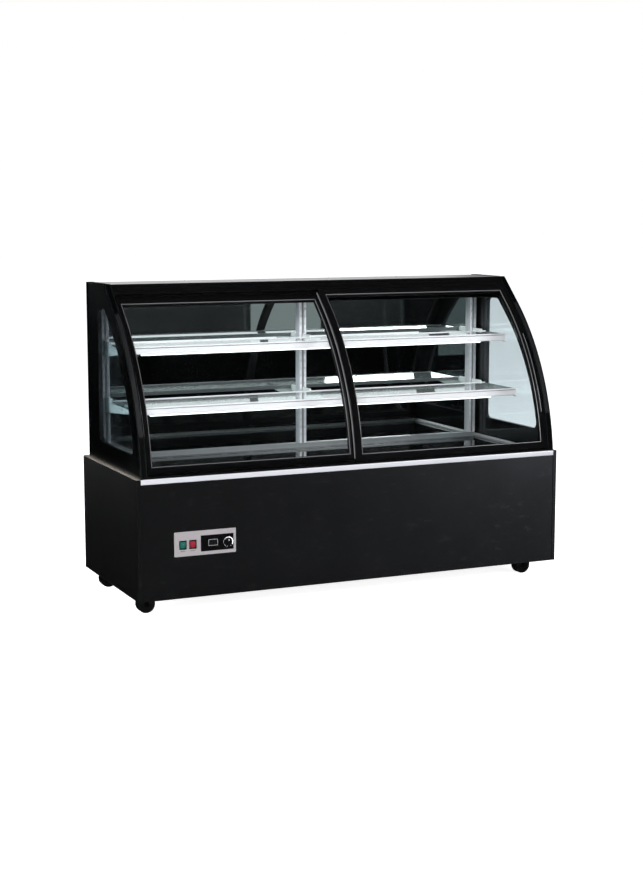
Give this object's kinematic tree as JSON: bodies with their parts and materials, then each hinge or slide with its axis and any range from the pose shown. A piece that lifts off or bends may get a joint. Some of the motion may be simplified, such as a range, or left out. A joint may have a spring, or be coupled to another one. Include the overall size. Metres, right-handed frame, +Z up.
{
  "type": "bakery display case",
  "caption": "Refrigerated bakery display case with a curved glazed front, sliding curved doors, lit glass shelves and a black base on casters.",
  "frame": {"origin": "on the floor under the middle of the case", "axes": "+X to the case's right as the customer faces it, -Y towards the customer, +Z up"},
  "size_m": [1.8, 0.6914, 1.216],
  "materials": {
    "laminate_black": "glossy black laminate board",
    "frame_black": "satin black anodised extrusion",
    "silver_trim": "brushed silver",
    "stainless": "stainless skin on a foam core",
    "control_plate": "satin silver plate",
    "galvanised": "galvanised sheet",
    "rear_black": "black powder coat",
    "insulated_wall": "black sheet on a foam core",
    "tub_liner": "moulded liner on foam",
    "clear_glass": "clear double glazing",
    "door_glass": "clear bent glass",
    "shelf_glass": "clear with green polished edges",
    "frit_black": "black printed border and spacer",
    "mirror": "silvered",
    "deck_black": "high gloss black",
    "deck_trim": "pale satin",
    "rail_white": "white powder coat",
    "lamp_diffuser": "opal, lit",
    "standard_silver": "satin anodised",
    "bracket_white": "white powder coat",
    "coil_aluminium": "bare fins and tubes",
    "copper": "bright copper",
    "compressor_black": "satin black enamel",
    "motor_grey": "cast grey",
    "fan_plastic": "moulded black",
    "tray_plastic": "moulded grey",
    "black_plastic": "moulded black",
    "rocker_green": "translucent green",
    "rocker_red": "translucent red",
    "caster_black": "moulded black",
    "tyre_black": "black tread"
  },
  "bodies": {
    "cabinet": {"side_panel_left": "laminate_black", "side_panel_right": "laminate_black", "front_panel": "laminate_black", "trim_strip": "silver_trim", "floor_pan": "galvanised", "base_frame": "galvanised", "rear_panel": "rear_black", "insulated_tub": "tub_liner", "deck": "deck_black", "deck_trims": "deck_trim", "evaporator_coil": "coil_aluminium", "evaporator_fan_plate": "galvanised", "condenser_coil": "coil_aluminium", "condenser_fan_shroud": "galvanised", "condenser_fan_motor": "motor_grey", "compressor": "compressor_black", "refrigerant_pipes": "copper", "electrical_box": "black_plastic", "power_inlet": "black_plastic", "drain_pan": "tray_plastic", "control_plate": "control_plate", "switch_bodies": "black_plastic", "thermostat_housing": "black_plastic", "left_end_glass": "clear_glass", "right_end_glass": "clear_glass", "left_end_border": "frit_black", "right_end_border": "frit_black", "top_panel": "stainless", "top_beam": "frame_black", "back_wall": "insulated_wall", "mirror": "mirror", "bottom_track": "frame_black", "shelf_standards": "standard_silver", "shelf_brackets": "bracket_white", "upper_shelf_glass": "shelf_glass", "lower_shelf_glass": "shelf_glass", "shelf_rails": "rail_white", "shelf_lamps": "lamp_diffuser", "shelf_rear_bars": "rail_white", "caster_plates": "galvanised"},
    "outer_door": {"outer_door_frame": "frame_black", "outer_door_glass": "door_glass", "outer_door_pull": "frame_black"},
    "inner_door": {"inner_door_frame": "frame_black", "inner_door_glass": "door_glass", "inner_door_pull": "frame_black"},
    "power_rocker": {"power_rocker": "rocker_green"},
    "light_rocker": {"light_rocker": "rocker_red"},
    "thermostat_knob": {"thermostat_knob": "black_plastic"},
    "condenser_fan": {"condenser_fan_blades": "fan_plastic"},
    "evaporator_fan_left": {"evaporator_fan_left": "fan_plastic"},
    "evaporator_fan_right": {"evaporator_fan_right": "fan_plastic"},
    "caster_front_left": {"caster_fork_front_left": "caster_black"},
    "wheels_front_left": {"caster_wheels_front_left": "tyre_black"},
    "caster_front_right": {"caster_fork_front_right": "caster_black"},
    "wheels_front_right": {"caster_wheels_front_right": "tyre_black"},
    "caster_rear_left": {"caster_fork_rear_left": "caster_black"},
    "wheels_rear_left": {"caster_wheels_rear_left": "tyre_black"},
    "caster_rear_right": {"caster_fork_rear_right": "caster_black"},
    "wheels_rear_right": {"caster_wheels_rear_right": "tyre_black"}
  },
  "joints": [
    {"name": "outer_door_slide", "type": "slide", "parent": "cabinet", "child": "outer_door", "axis": [-1, 0, 0], "range_m": [0, 0.84]},
    {"name": "inner_door_slide", "type": "slide", "parent": "cabinet", "child": "inner_door", "axis": [1, 0, 0], "range_m": [0, 0.84]},
    {"name": "power_rocker_tilt", "type": "hinge", "parent": "cabinet", "child": "power_rocker", "pos_m": [-0.725, -0.334, 0.267], "axis": [1, 0, 0], "range_deg": [-16, 0]},
    {"name": "light_rocker_tilt", "type": "hinge", "parent": "cabinet", "child": "light_rocker", "pos_m": [-0.686, -0.334, 0.267], "axis": [1, 0, 0], "range_deg": [-16, 0]},
    {"name": "thermostat_turn", "type": "hinge", "parent": "cabinet", "child": "thermostat_knob", "pos_m": [-0.545, -0.342, 0.266], "axis": [0, 1, 0], "range_deg": [0, 270]},
    {"name": "condenser_fan_spin", "type": "hinge", "parent": "cabinet", "child": "condenser_fan", "pos_m": [-0.66, 0.194, 0.2005], "axis": [0, 1, 0], "continuous": true},
    {"name": "evaporator_fan_left_spin", "type": "hinge", "parent": "cabinet", "child": "evaporator_fan_left", "pos_m": [-0.43, 0.024, 0.437], "axis": [0, 1, 0], "continuous": true},
    {"name": "evaporator_fan_right_spin", "type": "hinge", "parent": "cabinet", "child": "evaporator_fan_right", "pos_m": [0.11, 0.024, 0.437], "axis": [0, 1, 0], "continuous": true},
    {"name": "caster_swivel_front_left", "type": "hinge", "parent": "cabinet", "child": "caster_front_left", "pos_m": [-0.82, -0.235, 0.075], "axis": [0, 0, 1], "continuous": true},
    {"name": "wheel_spin_front_left", "type": "hinge", "parent": "caster_front_left", "child": "wheels_front_left", "pos_m": [-0.84, -0.235, 0.034], "axis": [0, 1, 0], "continuous": true},
    {"name": "caster_swivel_front_right", "type": "hinge", "parent": "cabinet", "child": "caster_front_right", "pos_m": [0.82, -0.235, 0.075], "axis": [0, 0, 1], "continuous": true},
    {"name": "wheel_spin_front_right", "type": "hinge", "parent": "caster_front_right", "child": "wheels_front_right", "pos_m": [0.8, -0.235, 0.034], "axis": [0, 1, 0], "continuous": true},
    {"name": "caster_swivel_rear_left", "type": "hinge", "parent": "cabinet", "child": "caster_rear_left", "pos_m": [-0.82, 0.235, 0.075], "axis": [0, 0, 1], "continuous": true},
    {"name": "wheel_spin_rear_left", "type": "hinge", "parent": "caster_rear_left", "child": "wheels_rear_left", "pos_m": [-0.84, 0.235, 0.034], "axis": [0, 1, 0], "continuous": true},
    {"name": "caster_swivel_rear_right", "type": "hinge", "parent": "cabinet", "child": "caster_rear_right", "pos_m": [0.82, 0.235, 0.075], "axis": [0, 0, 1], "continuous": true},
    {"name": "wheel_spin_rear_right", "type": "hinge", "parent": "caster_rear_right", "child": "wheels_rear_right", "pos_m": [0.8, 0.235, 0.034], "axis": [0, 1, 0], "continuous": true}
  ]
}
